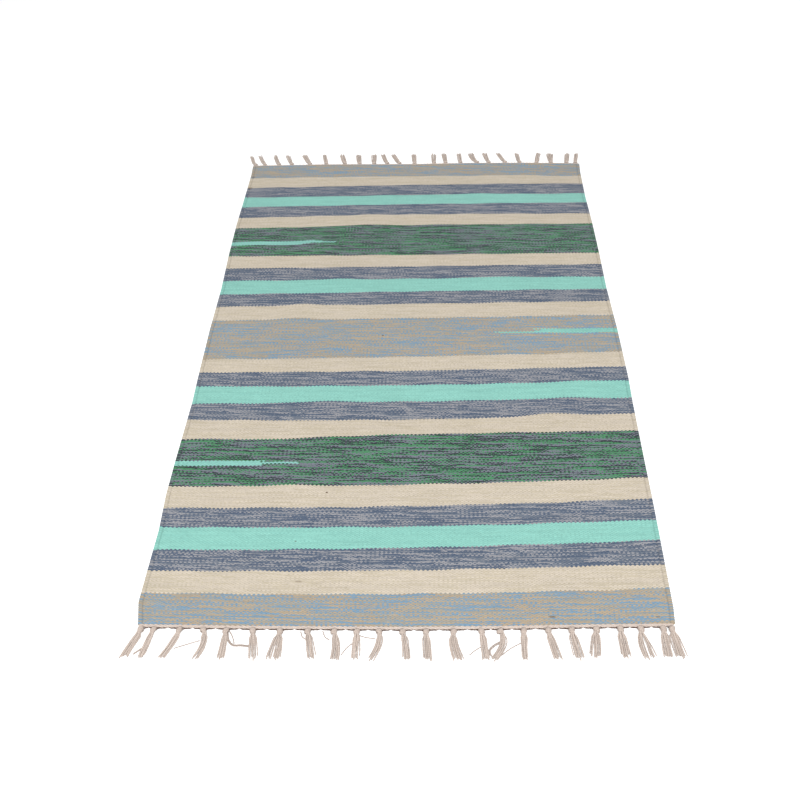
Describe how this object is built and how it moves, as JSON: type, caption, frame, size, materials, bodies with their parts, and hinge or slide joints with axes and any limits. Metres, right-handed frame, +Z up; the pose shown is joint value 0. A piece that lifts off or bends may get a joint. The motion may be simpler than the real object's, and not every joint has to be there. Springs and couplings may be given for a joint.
{
  "type": "flat-woven kilim rug",
  "caption": "Flat-woven cotton kilim rug with crosswise bands in slate, cream, navy, mint and green, twined headings and knotted tassel fringes.",
  "frame": {"origin": "centre of the woven field on the floor under the rug, which is the centre of the box's base to within 4 mm, because the tassels at the two ends lean unevenly", "axes": "+Z up out of the floor, +Y along the warp from the near end to the far end, +X along the weft to the right"},
  "size_m": [0.6175, 0.9779, 0.0052],
  "materials": {
    "banded_cotton": "matt weft-faced plain weave in plain and mixed-colour cotton wefts",
    "cream_cotton": "matt twisted undyed cotton yarn"
  },
  "bodies": {
    "root": {"rug_panel": "banded_cotton", "heading_near": "cream_cotton", "heading_far": "cream_cotton", "fringe_near": "cream_cotton", "fringe_far": "cream_cotton"}
  },
  "joints": []
}
